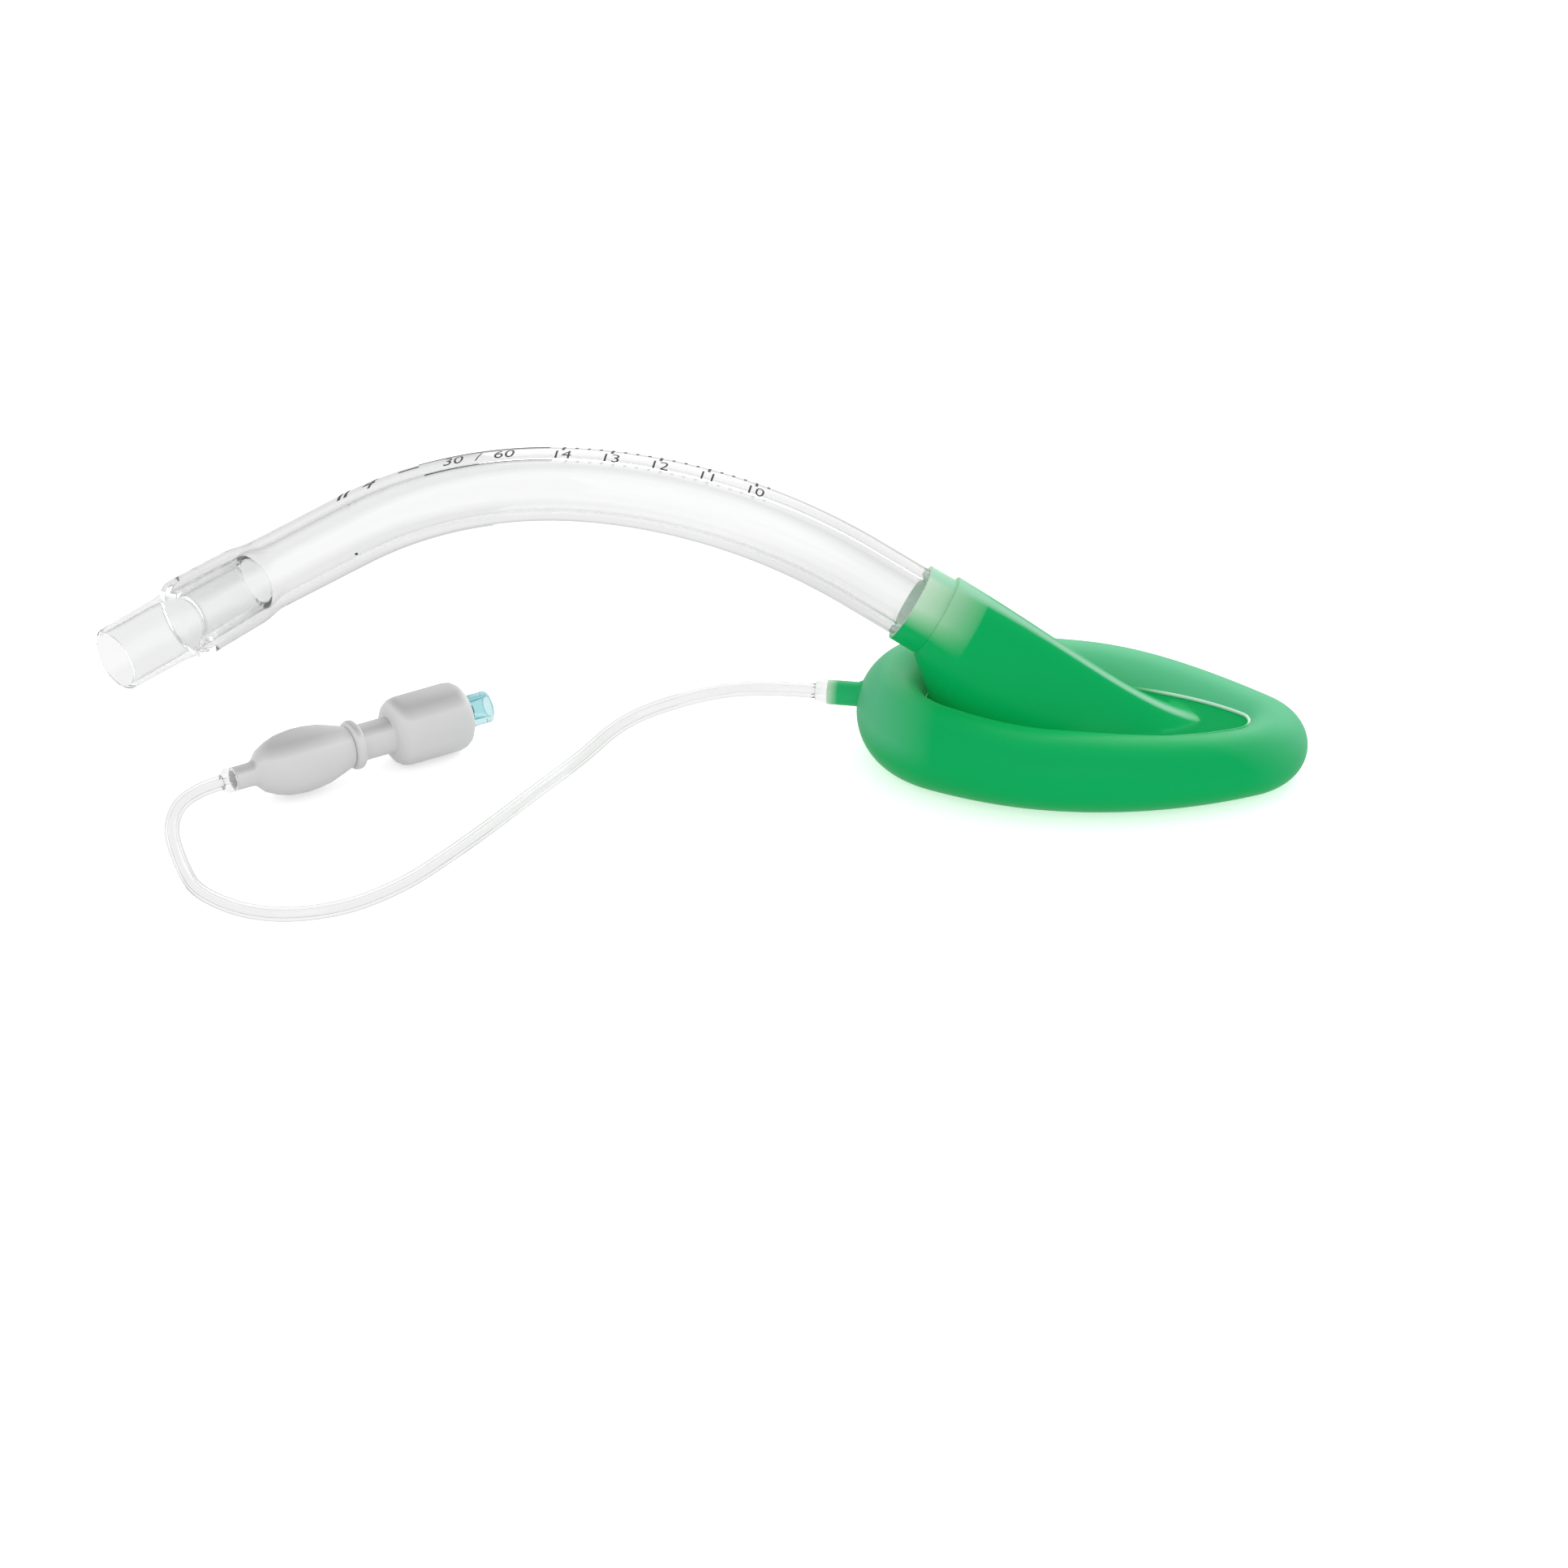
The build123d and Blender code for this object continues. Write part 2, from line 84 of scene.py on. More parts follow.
def facing(origin, heading, side=to_far_side):
    """Matrix that takes +Z to a heading and +Y as near as it can to a side, at an origin."""
    along = heading.normalized()
    across = side.cross(along).normalized()
    turn = Matrix((across, along.cross(across), along)).transposed()
    return Matrix.Translation(origin) @ turn.to_4x4()


def smooth_piece(name, bm, material, body="airway", merge=1e-6):
    """A finished mesh as a piece of the airway, smooth shaded, with its material and slot."""
    bmesh.ops.remove_doubles(bm, verts=bm.verts, dist=merge)
    bmesh.ops.recalc_face_normals(bm, faces=bm.faces)
    for face in bm.faces:
        face.smooth = True
    mesh = bpy.data.meshes.new(name)
    bm.to_mesh(mesh)
    bm.free()
    mesh.materials.append(material)
    made = bpy.data.objects.new(name, mesh)
    bpy.context.scene.collection.objects.link(made)
    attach(made, body)
    return made


def turned(profile, place, rounds=(), closed=True, steps=96):
    """A profile of (along, radius) points, its corners rounded, spun about the place's axis."""
    bm = bmesh.new()
    corners = [bm.verts.new((radius, 0, along)) for along, radius in profile]
    ends = zip(corners, corners[1:] + corners[:1] if closed else corners[1:])
    for a, b in ends:
        bm.edges.new((a, b))
    by_size = {}
    for corner, size in rounds:
        by_size.setdefault(size, []).append(corners[corner])
    for size, chosen in by_size.items():
        bmesh.ops.bevel(
            bm, geom=chosen, affect="VERTICES", offset=size, segments=4, profile=0.5, material=-1
        )
    bmesh.ops.spin(
        bm,
        geom=list(bm.verts) + list(bm.edges),
        cent=(0, 0, 0),
        axis=(0, 0, 1),
        dvec=(0, 0, 0),
        angle=math.tau,
        steps=steps,
        use_merge=True,
        use_duplicate=False,
    )
    bmesh.ops.transform(bm, matrix=place, verts=bm.verts)
    return bm


def ramp_group():
    """Node group: a mask that ramps from Low to High between two distances along a direction."""
    group = bpy.data.node_groups.new("ramp_mask", "ShaderNodeTree")
    for name, kind in (
        ("Place", "NodeSocketVector"),
        ("Direction", "NodeSocketVector"),
        ("Start", "NodeSocketFloat"),
        ("End", "NodeSocketFloat"),
        ("Low", "NodeSocketFloat"),
        ("High", "NodeSocketFloat"),
    ):
        group.interface.new_socket(name, in_out="INPUT", socket_type=kind)
    group.interface.new_socket("Mask", in_out="OUTPUT", socket_type="NodeSocketFloat")
    given, distance, ramp, made = (
        group.nodes.new("NodeGroupInput"),
        group.nodes.new("ShaderNodeVectorMath"),
        group.nodes.new("ShaderNodeMapRange"),
        group.nodes.new("NodeGroupOutput"),
    )
    distance.operation = "DOT_PRODUCT"
    group.links.new(given.outputs["Place"], distance.inputs[0])
    group.links.new(given.outputs["Direction"], distance.inputs[1])
    group.links.new(distance.outputs["Value"], ramp.inputs["Value"])
    for name, limit in (("Start", "From Min"), ("End", "From Max"), ("Low", "To Min"), ("High", "To Max")):
        group.links.new(given.outputs[name], ramp.inputs[limit])
    group.links.new(ramp.outputs["Result"], made.inputs["Mask"])
    return group


ramp_mask = ramp_group()


def add_mask(nodes, links, place, direction, start, end, low=0.0, high=1.0):
    """A ramp mask in a material, read from a place or a normal."""
    mask = nodes.new("ShaderNodeGroup")
    mask.node_tree = ramp_mask
    links.new(place, mask.inputs["Place"])
    mask.inputs["Direction"].default_value = direction
    for name, value in (("Start", start), ("End", end), ("Low", low), ("High", high)):
        mask.inputs[name].default_value = value
    return mask.outputs["Mask"]


def add_tone(nodes, links, mask, below, tone, blend="MIX"):
    """A colour, given as numbers or by a socket, that takes on a tone where its mask is high."""
    mix = nodes.new("ShaderNodeMix")
    mix.data_type = "RGBA"
    mix.blend_type = blend
    links.new(mask, mix.inputs["Factor"])
    if isinstance(below, tuple):
        mix.inputs["A"].default_value = (*below, 1)
    else:
        links.new(below, mix.inputs["A"])
    mix.inputs["B"].default_value = (*tone, 1)
    return mix.outputs["Result"]


def clear_plastic(name, tint, edge_tint, roughness, ior, lamp_tint, edge=0.6):
    """Clear plastic that looks greyer edge on, and lets the lamps' light through."""
    material = bpy.data.materials.new(name)
    material.use_nodes = True
    nodes, links = material.node_tree.nodes, material.node_tree.links
    output, surface = nodes["Material Output"], nodes["Principled BSDF"]
    surface.inputs["Roughness"].default_value = roughness
    surface.inputs["IOR"].default_value = ior
    surface.inputs["Transmission Weight"].default_value = 1.0
    surface.inputs["Coat Weight"].default_value = 0.5
    surface.inputs["Coat Roughness"].default_value = 0.05
    weight, ramp, path, through, mix = (
        nodes.new("ShaderNodeLayerWeight"),
        nodes.new("ShaderNodeValToRGB"),
        nodes.new("ShaderNodeLightPath"),
        nodes.new("ShaderNodeBsdfTransparent"),
        nodes.new("ShaderNodeMixShader"),
    )
    weight.inputs["Blend"].default_value = 0.5
    ramp.color_ramp.elements[0].position = edge
    ramp.color_ramp.elements[0].color = (*tint, 1)
    ramp.color_ramp.elements[1].position = 0.85
    ramp.color_ramp.elements[1].color = (*edge_tint, 1)
    links.new(weight.outputs["Facing"], ramp.inputs["Fac"])
    links.new(ramp.outputs["Color"], surface.inputs["Base Color"])
    through.inputs["Color"].default_value = (*lamp_tint, 1)
    links.new(path.outputs["Is Shadow Ray"], mix.inputs["Fac"])
    links.new(surface.outputs["BSDF"], mix.inputs[1])
    links.new(through.outputs["BSDF"], mix.inputs[2])
    links.new(mix.outputs["Shader"], output.inputs["Surface"])
    return material


def shade_along(material, reading, direction, start, end, shade):
    """Multiply a material's colour by a painted shade, on a ramp of its normals or its places."""
    nodes, links = material.node_tree.nodes, material.node_tree.links
    base = nodes["Principled BSDF"].inputs["Base Color"]
    place = nodes.new("ShaderNodeTexCoord")
    mask = add_mask(nodes, links, place.outputs[reading], direction, start, end)
    links.new(add_tone(nodes, links, mask, base.links[0].from_socket, shade, "MULTIPLY"), base)


# Painted shade: the clear parts are coloured darker on faces that point down.
upper_side, under_side = 0.12, -0.12
faint_underside_shade = (0.93, 0.93, 0.93)
moulded_clear = clear_plastic(
    "moulded_clear", (0.955, 0.96, 0.957), (0.70, 0.71, 0.705), 0.02, 1.14, (0.86, 0.865, 0.86)
)
shade_along(moulded_clear, "Normal", upwards, upper_side, under_side, faint_underside_shade)
connector_profile = [
    (0, cone_tip_radius - cone_wall),
    (0, cone_tip_radius),
    (cone_length, cone_root_radius),
    (cone_length + 0.0008, collar_radius),
    (tube_starts, collar_radius),
    (tube_starts, barrel_root_radius),
    (exposed_length, barrel_root_radius),
    (connector_length, barrel_tip_radius),
    (connector_length, barrel_bore),
    (exposed_length + bore_step, barrel_bore),
    (exposed_length, cone_tip_radius - cone_wall),
]
connector_rounds = [(corner, rim_round) for corner in (0, 1)]
connector_rounds += [(corner, collar_round) for corner in (3, 4, 7, 8)]
connector_rounds += [(corner, bore_round) for corner in (9, 10)]
airway_connector = smooth_piece(
    "clear_connector",
    turned(connector_profile, facing(connector_mouth, into_connector), connector_rounds),
    moulded_clear,
)
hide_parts("airway_connector")


# Airway tube: a thick extrusion of clear soft PVC, bent to the curve of the throat while it is
# warm, and stretched over the connector's barrel at its outer end.
mask_x = 0.0615402
tube_radius = 0.0081
tube_bore = 0.0055
tube_inner_end = Vector((mask_x - 0.0016, 0, 0.0290))
mask_slope = math.radians(30.0)
tube_moves = [(0.0265, 0.0), (0.1207, 30.0), (0.0969, 32.5), (0.0242946, 0.0), (0.060, 2.0)]
tube_length = sum(size * math.radians(turn) if turn else size for size, turn in tube_moves)
outer_end = tube_length + connector_length - tube_starts
barrel_clearance = 0.00006
flare_start, flare_run = 0.003, 0.0174
flare_radius, flare_growth = 0.0090, 0.0005
outer_shoulder = [
    (-0.0025, 0.00004),
    (-0.0010, 0.00018),
    (0.0005, 0.00045),
    (0.0020, 0.00073),
    (0.0035, 0.00090),
]
inner_shoulder = [(-0.0050, 0.00008), (-0.0036, 0.00030), (-0.0020, 0.00068), (-0.0008, 0.00096)]
ring_spacing = 0.002
end_round = 0.0003


def tube_place(distance):
    """Centre and heading of the tube at a distance from its end in the mask."""
    centre, rise = tube_inner_end.copy(), mask_slope
    for size, turn in tube_moves:
        length = size * math.radians(turn) if turn else size
        gone = min(distance, length)
        heading = Vector((-math.cos(rise), 0, math.sin(rise)))
        if turn:
            middle = centre + size * Vector((-math.sin(rise), 0, -math.cos(rise)))
            rise -= gone / size
            centre = middle + size * Vector((math.sin(rise), 0, math.cos(rise)))
        else:
            centre = centre + heading * gone
        distance -= gone
        if distance <= 0:
            break
    heading = Vector((-math.cos(rise), 0, math.sin(rise)))
    return centre + heading * max(distance, 0), heading


def evenly(start, end, step):
    """Distances from start to end, about a step apart."""
    count = max(1, round(abs(end - start) / step))
    return [start + (end - start) * index / count for index in range(count + 1)]


def skin_along(bm, sections, segments):
    """A skin of round sections carried through their places; its first and last rims."""
    ring = bmesh.ops.create_circle(bm, segments=segments, radius=1, matrix=sections[0])["verts"]
    first = edges = list({edge for vert in ring for edge in vert.link_edges})
    for before, section in zip(sections, sections[1:]):
        grown = bmesh.ops.extrude_edge_only(bm, edges=edges)["geom"]
        ring = [item for item in grown if isinstance(item, bmesh.types.BMVert)]
        bmesh.ops.transform(bm, matrix=section @ before.inverted(), verts=ring)
        inside = set(ring)
        edges = [
            item
            for item in grown
            if isinstance(item, bmesh.types.BMEdge) and inside.issuperset(item.verts)
        ]
    return first, edges


def tube_skin(bm, stations):
    """One skin of the tube, through (distance, radius) stations."""
    sections = [
        facing(*tube_place(distance)) @ Matrix.Diagonal((radius, radius, 1, 1))
        for distance, radius in stations
    ]
    return skin_along(bm, sections, 96)


outer_stations = [(0.0005, tube_radius)]
outer_stations += [(d, tube_radius) for d in evenly(0.001, tube_length - 0.004, ring_spacing)]
outer_stations += [(tube_length + past, tube_radius + swell) for past, swell in outer_shoulder]
outer_stations += [
    (d, flare_radius + flare_growth * (d - tube_length - flare_start) / flare_run)
    for d in evenly(tube_length + 0.0055, outer_end - 0.0005, ring_spacing)
]
barrel_hole = barrel_tip_radius + barrel_clearance
barrel_growth = barrel_root_radius - barrel_tip_radius
inner_stations = [(d, tube_bore) for d in evenly(0.0, tube_length - 0.0066, ring_spacing)]
inner_stations += [(tube_length + past, tube_bore + swell) for past, swell in inner_shoulder]
inner_stations += [(tube_length - 0.00005, barrel_hole)]
inner_stations += [
    (d, barrel_hole + barrel_growth * (d - tube_length) / barrel_length)
    for d in evenly(tube_length + 0.001, outer_end - 0.0004, ring_spacing)
]
bm = bmesh.new()
outer_first, outer_last = tube_skin(bm, outer_stations)
outer_faces = set(bm.faces)
inner_first, inner_last = tube_skin(bm, inner_stations)
for face in bm.faces:
    face.material_index = 0 if face in outer_faces else 1
bmesh.ops.bridge_loops(bm, edges=outer_first + inner_first)
bmesh.ops.bridge_loops(bm, edges=outer_last + inner_last)
bmesh.ops.recalc_face_normals(bm, faces=bm.faces)
rims = [edge for edge in set(outer_first + inner_first + outer_last + inner_last) if edge.is_valid]
bmesh.ops.bevel(
    bm, geom=rims, affect="EDGES", offset=end_round, segments=3, profile=0.5, material=-1
)
tube_lamp_tint = (0.965, 0.97, 0.965)
extruded_clear = clear_plastic(
    "extruded_clear", (0.975, 0.98, 0.977), (0.50, 0.51, 0.505), 0.03, 1.14, tube_lamp_tint, 0.5
)
# Painted shade: the tube is greyer on its underside and on its faces turned towards the mask.
shade_along(extruded_clear, "Normal", upwards, upper_side, under_side, (0.76, 0.76, 0.76))
shade_along(extruded_clear, "Normal", to_tip, 0.22, 0.42, (0.80, 0.80, 0.80))
bore_clear = clear_plastic(
    "bore_clear", (0.98, 0.985, 0.982), (0.72, 0.73, 0.725), 0.03, 1.14, tube_lamp_tint, 0.5
)
airway_tube = smooth_piece("clear_tube", bm, extruded_clear)
airway_tube.data.materials.append(bore_clear)
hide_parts("airway_tube")


# Print: the tube's ink marks, along its top where they are read with the mask to the right: the
# size, a rule with plain volumes under it, and a scale of depths. One stray dot of the ink
# lies low on the near side.
print_ink = bpy.data.materials.new("print_ink")
print_ink.use_nodes = True
ink_surface = print_ink.node_tree.nodes["Principled BSDF"]
ink_surface.inputs["Base Color"].default_value = (0.012, 0.012, 0.012, 1)
ink_surface.inputs["Roughness"].default_value = 0.6
ink_height = 0.00006
mark_grid = 0.0008


def bent_on(bm, distance, across):
    """Lay flat marks on the tube: x runs towards the mask from a distance, y round the tube."""
    for vert in bm.verts:
        centre, heading = tube_place(distance - vert.co.x)
        up = Vector((heading.z, 0, -heading.x))
        turn = (across + vert.co.y) / tube_radius
        out = up * math.cos(turn) + to_far_side * math.sin(turn)
        vert.co = centre + out * (tube_radius + ink_height)


def add_number(marks, text, height, distance, across, slant=0.0):
    """A plain number, its first figure at a distance along the tube."""
    curve = bpy.data.curves.new("number", "FONT")
    curve.body = text
    curve.size = height * 1.4
    curve.shear = slant
    curve.resolution_u = 3
    number = bpy.data.objects.new("number", curve)
    bpy.context.scene.collection.objects.link(number)
    flat = bpy.data.meshes.new_from_object(number)
    bm = bmesh.new()
    bm.from_mesh(flat)
    bmesh.ops.triangulate(bm, faces=bm.faces)
    bmesh.ops.subdivide_edges(bm, edges=[e for e in bm.edges if e.calc_length() > 0.0006], cuts=2)
    bmesh.ops.triangulate(bm, faces=bm.faces)
    bent_on(bm, distance, across)
    bm.to_mesh(flat)
    bm.free()
    marks.from_mesh(flat)
    bpy.data.objects.remove(number)
    bpy.data.meshes.remove(flat)
    bpy.data.curves.remove(curve)


def add_bar(marks, length, width, distance, across):
    """A straight mark, its length along the tube."""
    bm = bmesh.new()
    bmesh.ops.create_grid(
        bm,
        x_segments=max(1, round(length / mark_grid)),
        y_segments=max(1, round(width / mark_grid)),
        size=0.5,
        matrix=Matrix.Translation((length / 2, 0, 0)) @ Matrix.Diagonal((length, width, 1, 1)),
    )
    bent_on(bm, distance, across)
    bar = bpy.data.meshes.new("bar")
    bm.to_mesh(bar)
    bm.free()
    marks.from_mesh(bar)
    bpy.data.meshes.remove(bar)


marks = bmesh.new()
add_number(marks, "4", 0.0046, 0.1378, -0.0018, 0.3)
for distance in (0.1432, 0.1416):
    add_bar(marks, 0.0008, 0.0040, distance, 0.0006)
rule_start, rule_end, rule_width = 0.1250, 0.0972, 0.0024
add_bar(marks, rule_start - rule_end, rule_width, rule_start, 0.0031)
add_bar(marks, 0.0046, 0.0007, rule_start + 0.0040, 0.0004)
add_number(marks, "30  /  60", 0.0032, 0.1190, -0.0019)
tick_step, first_tick, tick_top, tick_width = 0.0025, 0.0945, 0.0036, 0.0006
first_number, figure_height, figure_lead = 14, 0.0030, 0.0018
for index in range(18):
    numbered = index % 4 == 0
    tick_height = 0.0030 if numbered else 0.0018
    tick_place = first_tick - tick_step * index
    add_bar(marks, tick_width, tick_height, tick_place, tick_top - tick_height / 2)
    if numbered:
        text = str(first_number - index // 4)
        add_number(marks, text, figure_height, tick_place + figure_lead, -0.0026)
add_bar(marks, 0.0007, 0.0006, 0.1437, -0.0154)
smooth_piece("tube_print", marks, print_ink, merge=1e-7)


# Mask body: the moulded green back of the mask. Its socket is thin over the tube's end and is painted
# paler there, partly its thin wall's own colour and partly painted light on its upper side. Its hollow
# back fans out to the flange that the cuff is bonded to.
pvc_green = (0.0, 0.455, 0.12)
glow_green = (0.06, 0.85, 0.45)
crest_highlight_green = (0.32, 0.68, 0.48)
pale_green = (0.66, 0.87, 0.68)
plate_shade_green = (0.0, 0.37, 0.095)
bore_light_white = (0.93, 0.96, 0.94)
thick_lamp_tint, film_lamp_tint = (0.75, 0.95, 0.82), (0.55, 0.88, 0.68)
socket_depth = 0.0139
down_slope = Vector((math.cos(mask_slope), 0, -math.sin(mask_slope)))
off_slope = Vector((math.sin(mask_slope), 0, math.cos(mask_slope)))
crest_facing = Vector((0.45, 0, 0.893))
flat_from, flat_at = 0.97, 0.995


def soft_green(name, roughness, shine, lamp_tint, glow):
    """Translucent green PVC: a soft sheen, and light from behind and the lamps comes through it."""
    material = bpy.data.materials.new(name)
    material.use_nodes = True
    nodes, links = material.node_tree.nodes, material.node_tree.links
    output, surface = nodes["Material Output"], nodes["Principled BSDF"]
    surface.inputs["Base Color"].default_value = (*pvc_green, 1)
    surface.inputs["Roughness"].default_value = roughness
    surface.inputs["IOR"].default_value = 1.5
    surface.inputs["Specular IOR Level"].default_value = shine
    behind, skin, path, through, mix, place = (
        nodes.new("ShaderNodeBsdfTranslucent"),
        nodes.new("ShaderNodeMixShader"),
        nodes.new("ShaderNodeLightPath"),
        nodes.new("ShaderNodeBsdfTransparent"),
        nodes.new("ShaderNodeMixShader"),
        nodes.new("ShaderNodeTexCoord"),
    )
    behind.inputs["Color"].default_value = (*glow_green, 1)
    skin.inputs["Fac"].default_value = glow
    links.new(surface.outputs["BSDF"], skin.inputs[1])
    links.new(behind.outputs["BSDF"], skin.inputs[2])
    through.inputs["Color"].default_value = (*lamp_tint, 1)
    links.new(path.outputs["Is Shadow Ray"], mix.inputs["Fac"])
    links.new(skin.outputs["Shader"], mix.inputs[1])
    links.new(through.outputs["BSDF"], mix.inputs[2])
    links.new(mix.outputs["Shader"], output.inputs["Surface"])
    return material, nodes, links, surface, place


def joined(nodes, links, first, second, operation="MULTIPLY"):
    """Two masks as one: where both are high, or with MAXIMUM, where either is."""
    both = nodes.new("ShaderNodeMath")
    both.operation = operation
    links.new(first, both.inputs[0])
    links.new(second, both.inputs[1])
    return both.outputs["Value"]


mask_green, nodes, links, surface, place = soft_green("mask_green", 0.28, 0.08, thick_lamp_tint, 0.12)
from_tube_end, sidestep, apart, bore = (
    nodes.new("ShaderNodeMapping"),
    nodes.new("ShaderNodeVectorMath"),
    nodes.new("ShaderNodeVectorMath"),
    nodes.new("ShaderNodeMapRange"),
)
from_tube_end.vector_type = "POINT"
from_tube_end.inputs["Location"].default_value = -tube_inner_end
links.new(place.outputs["Object"], from_tube_end.inputs["Vector"])
seen = from_tube_end.outputs["Vector"]
# Painted light: the socket is coloured pale green over the tube's end, palest at its mouth and on its
# upper side.
deep = add_mask(nodes, links, seen, down_slope, -socket_depth, 0.0002, 1.0, 0.10)
high = add_mask(nodes, links, seen, off_slope, -0.0010, 0.0042, 0.0, 0.97)
on_tube = add_mask(nodes, links, seen, down_slope, 0.0003, -0.0001)
pale = joined(nodes, links, joined(nodes, links, deep, high), on_tube)
tone = add_tone(nodes, links, pale, pvc_green, pale_green)
# Painted highlight: a pale band along the ridge, on faces turned up and towards the tip.
crest_highlight = add_mask(nodes, links, place.outputs["Normal"], crest_facing, 0.955, 0.992, 0.0, 0.8)
tone = add_tone(nodes, links, crest_highlight, tone, crest_highlight_green)
# Painted shade: the flat, upward-facing top of the flange is coloured a deeper green.
plate_shade = add_mask(nodes, links, place.outputs["Normal"], upwards, flat_from, flat_at)
tone = add_tone(nodes, links, plate_shade, tone, plate_shade_green)
sidestep.operation = "CROSS_PRODUCT"
sidestep.inputs[1].default_value = down_slope
apart.operation = "LENGTH"
links.new(seen, sidestep.inputs[0])
links.new(sidestep.outputs["Vector"], apart.inputs[0])
links.new(apart.outputs["Value"], bore.inputs["Value"])
bore.inputs["From Min"].default_value = tube_radius + 0.0003
bore.inputs["From Max"].default_value = tube_radius + 0.0001
# Painted light: inside the socket, where its wall wraps the tube, the green is coloured near white.
bore_light = joined(nodes, links, bore.outputs["Result"], on_tube)
tone = add_tone(nodes, links, bore_light, tone, bore_light_white)
links.new(tone, surface.inputs["Base Color"])
dull = add_mask(nodes, links, place.outputs["Normal"], upwards, flat_from, flat_at, 0.28, 0.85)
links.new(dull, surface.inputs["Roughness"])
bm = bmesh.new()
bm.from_mesh(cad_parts["mask_body"].data)
bmesh.ops.remove_doubles(bm, verts=bm.verts, dist=2e-6)
for face in bm.faces:
    face.smooth = True
mask_mesh = bpy.data.meshes.new("green_back")
bm.to_mesh(mask_mesh)
bm.free()
mask_mesh.attributes.remove(mask_mesh.attributes["custom_normal"])
mask_mesh.set_sharp_from_angle(angle=math.radians(32))
mask_mesh.materials.append(mask_green)
green_back = bpy.data.objects.new("green_back", mask_mesh)
bpy.context.scene.collection.objects.link(green_back)
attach(green_back, "airway")
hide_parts("mask_body")


# Cuff: a thin skin of the same PVC, blown into an oval ring and bonded along the flange. A short
# neck blown with it takes the inflation line's adapter.
heel_bend, side_bend, tip_bend = 0.0174, 0.0805, 0.0092
side_centre = Vector((0.0185307, 0.0603177, 0))
tip_centre_x = 0.05655
heel_angle, tip_angle = 107.0779, 57.7760
heel_size, side_size, tip_size = (0.0154, 0.0200), (0.0188, 0.0170), (0.0157, 0.0143)
widest_share = 0.45
cuff_spacing, finest_turn = 0.0018, math.radians(3)
flange_top = 0.0124
bond_radius = 0.0004
painted_sheen_green = (0.115, 0.56, 0.285)
glint_green = (0.66, 0.88, 0.76)


def cuff_station(x, y, outward):
    """Matrices of the cuff's oval section at a place of its centreline, and of the bond beside it."""
    share = min(max((x + heel_bend) / (tip_centre_x + heel_bend + tip_bend), 0), 1)
    if share < widest_share:
        start, end, part = heel_size, side_size, share / widest_share
    else:
        start, end, part = side_size, tip_size, (share - widest_share) / (1 - widest_share)
    ease = (1 - math.cos(math.pi * part)) / 2
    width, height = (a + (b - a) * ease for a, b in zip(start, end))
    out = Vector((math.cos(outward), math.sin(outward), 0))
    turn = Matrix((out, upwards, out.cross(upwards))).transposed().to_4x4()
    centre = Vector((mask_x + x, y, height / 2))
    section = Matrix.Translation(centre) @ turn @ Matrix.Diagonal((width / 2, height / 2, 1, 1))
    rise = flange_top + bond_radius / 2 - height / 2
    inset = width / 2 * math.sqrt(1 - (2 * rise / height) ** 2)
    bond_centre = centre - out * inset + Vector((0, 0, rise))
    thin = Matrix.Diagonal((bond_radius, bond_radius, 1, 1))
    return section, Matrix.Translation(bond_centre) @ turn @ thin


def ring_through(sections, segments):
    """A closed ring of round sections carried through their places."""
    bm = bmesh.new()
    skin_along(bm, sections, segments)
    return bm


cuff_arcs = [
    (Vector((0, 0, 0)), heel_bend, 180.0, heel_angle),
    (Vector((side_centre.x, -side_centre.y, 0)), side_bend, heel_angle, tip_angle),
    (Vector((tip_centre_x, 0, 0)), tip_bend, tip_angle, -tip_angle),
    (side_centre, side_bend, -tip_angle, -heel_angle),
    (Vector((0, 0, 0)), heel_bend, -heel_angle, -180.0),
]
cuff_sections, bond_sections = [], []
for middle, bend, start, end in cuff_arcs:
    step = min(cuff_spacing / bend, finest_turn)
    for angle in evenly(math.radians(start), math.radians(end), step)[:-1]:
        x, y = middle.x + bend * math.cos(angle), middle.y + bend * math.sin(angle)
        section, bond = cuff_station(x, y, angle)
        cuff_sections.append(section)
        bond_sections.append(bond)
cuff_sections.append(cuff_sections[0])
bond_sections.append(bond_sections[0])

cuff_green, nodes, links, surface, place = soft_green("cuff_green", 0.42, 0.10, film_lamp_tint, 0.12)
at = place.outputs["Object"]
# Painted light: the cuff's far side above its base and the top of its heel are coloured a paler green, as
# sheen.
far = add_mask(nodes, links, at, to_far_side, -0.0160, -0.0020)
raised = add_mask(nodes, links, at, upwards, 0.0010, 0.0110)
heel = add_mask(nodes, links, at, to_tip, 0.0560, 0.0420)
heel_top = add_mask(nodes, links, at, upwards, 0.0075, 0.0125)
far_sheen = joined(nodes, links, far, raised)
heel_sheen = joined(nodes, links, heel, heel_top)
painted_sheen = joined(nodes, links, far_sheen, heel_sheen, "MAXIMUM")
links.new(add_tone(nodes, links, painted_sheen, pvc_green, painted_sheen_green), surface.inputs["Base Color"])
cuff = smooth_piece("blown_cuff", ring_through(cuff_sections, 64), cuff_green, merge=1e-5)
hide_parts("cuff")

bond_green, nodes, links, surface, place = soft_green("bond_green", 0.12, 0.6, film_lamp_tint, 0.1)
# Painted highlight: the bond's far side, towards the tip, is coloured pale as a glint.
at = place.outputs["Object"]
far = add_mask(nodes, links, at, to_far_side, -0.0020, 0.0005)
forward = add_mask(nodes, links, at, to_tip, mask_x + 0.034, mask_x + 0.042)
glint = joined(nodes, links, far, forward)
links.new(add_tone(nodes, links, glint, pvc_green, glint_green), surface.inputs["Base Color"])
smooth_piece("bond_line", ring_through(bond_sections, 10), bond_green)

